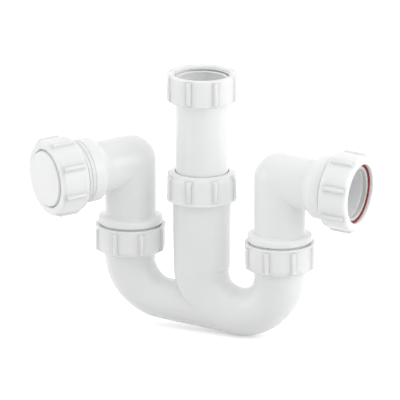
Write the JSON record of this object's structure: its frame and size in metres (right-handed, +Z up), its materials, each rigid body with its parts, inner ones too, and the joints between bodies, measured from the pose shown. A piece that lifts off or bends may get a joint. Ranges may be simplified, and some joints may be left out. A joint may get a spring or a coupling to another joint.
{
  "type": "sink trap",
  "caption": "White plastic sink trap with a telescopic inlet tube and union nut, a U-shaped water bend, and swivelling elbows: one for a waste pipe, one blanked off.",
  "frame": {"origin": "centre of the face of the inlet washer, which seals against the sink's waste", "axes": "+Z up along the inlet tube, out of the union nut; +X towards the pipe outlet's arm; +Y away from the side seen in the picture"},
  "size_m": [0.2861, 0.1143, 0.224],
  "materials": {
    "white": "glossy white moulded plastic",
    "hard_ring": "plain hard plastic",
    "red_washer": "matte red-brown rubber",
    "rubber": "matte black rubber",
    "pale_rubber": "matte off-white rubber"
  },
  "bodies": {
    "trap": {"trap_body": "white", "riser_seal": "rubber"},
    "inlet": {"inlet_tube": "white", "inlet_washer": "hard_ring"},
    "union": {"inlet_nut": "white"},
    "riser_ring": {"riser_slip_washer": "hard_ring"},
    "riser_clamp": {"riser_nut": "white"},
    "left_outlet": {"left_elbow": "white", "left_swivel_seal": "rubber", "blank_seal": "pale_rubber"},
    "left_ring": {"left_swivel_slip_washer": "hard_ring"},
    "left_clamp": {"left_swivel_nut": "white"},
    "blank": {"blank_disc": "white"},
    "cap": {"cap_nut": "white"},
    "right_outlet": {"right_elbow": "white", "right_swivel_seal": "rubber", "outlet_seal": "pale_rubber"},
    "right_ring": {"right_swivel_slip_washer": "hard_ring"},
    "right_clamp": {"right_swivel_nut": "white"},
    "outlet_ring": {"outlet_slip_washer": "red_washer"},
    "outlet_clamp": {"outlet_nut": "white"}
  },
  "joints": [
    {"name": "inlet_slide", "type": "slide", "parent": "trap", "child": "inlet", "axis": [0, 0, 1], "range_m": [-0.042, 0.015]},
    {"name": "union_turn", "type": "hinge", "parent": "inlet", "child": "union", "pos_m": [0, 0, 0], "axis": [0, 0, 1], "continuous": true},
    {"name": "riser_ring_lift", "type": "slide", "parent": "trap", "child": "riser_ring", "axis": [0, 0, 1], "range_m": [0, 0.009]},
    {"name": "riser_clamp_turn", "type": "hinge", "parent": "riser_ring", "child": "riser_clamp", "pos_m": [0, 0, -0.09], "axis": [0, 0, 1], "range_deg": [0, 1080]},
    {"name": "left_swivel", "type": "hinge", "parent": "trap", "child": "left_outlet", "pos_m": [-0.0661, 0, -0.0796], "axis": [0, 0, 1], "range_deg": [-150, 55]},
    {"name": "left_ring_drop", "type": "slide", "parent": "left_outlet", "child": "left_ring", "axis": [0, 0, -1], "range_m": [0, 0.0045]},
    {"name": "left_clamp_turn", "type": "hinge", "parent": "left_ring", "child": "left_clamp", "pos_m": [-0.0661, 0, -0.15], "axis": [0, 0, -1], "range_deg": [0, 540]},
    {"name": "blank_slide", "type": "slide", "parent": "left_outlet", "child": "blank", "axis": [-0.5924, -0.8035, -0.0593], "range_m": [0, 0.006]},
    {"name": "cap_turn", "type": "hinge", "parent": "blank", "child": "cap", "pos_m": [-0.0661, 0, -0.0796], "axis": [-0.5924, -0.8035, -0.0593], "range_deg": [0, 720]},
    {"name": "right_swivel", "type": "hinge", "parent": "trap", "child": "right_outlet", "pos_m": [0.0713, 0, -0.0796], "axis": [0, 0, 1], "range_deg": [-105, 105]},
    {"name": "right_ring_drop", "type": "slide", "parent": "right_outlet", "child": "right_ring", "axis": [0, 0, -1], "range_m": [0, 0.0045]},
    {"name": "right_clamp_turn", "type": "hinge", "parent": "right_ring", "child": "right_clamp", "pos_m": [0.0713, 0, -0.15], "axis": [0, 0, -1], "range_deg": [0, 540]},
    {"name": "outlet_ring_slide", "type": "slide", "parent": "right_outlet", "child": "outlet_ring", "axis": [0.9979, -0.0261, -0.0593], "range_m": [0, 0.0075]},
    {"name": "outlet_clamp_turn", "type": "hinge", "parent": "outlet_ring", "child": "outlet_clamp", "pos_m": [0.0713, 0, -0.0796], "axis": [0.9979, -0.0261, -0.0593], "range_deg": [0, 900]}
  ],
  "couplings": [
    {"joint": "riser_ring_lift", "follows": "riser_clamp_turn", "m_per_rad": 0.00047746},
    {"joint": "left_ring_drop", "follows": "left_clamp_turn", "m_per_rad": 0.00047746},
    {"joint": "blank_slide", "follows": "cap_turn", "m_per_rad": 0.00047746},
    {"joint": "right_ring_drop", "follows": "right_clamp_turn", "m_per_rad": 0.00047746},
    {"joint": "outlet_ring_slide", "follows": "outlet_clamp_turn", "m_per_rad": 0.00047746}
  ]
}
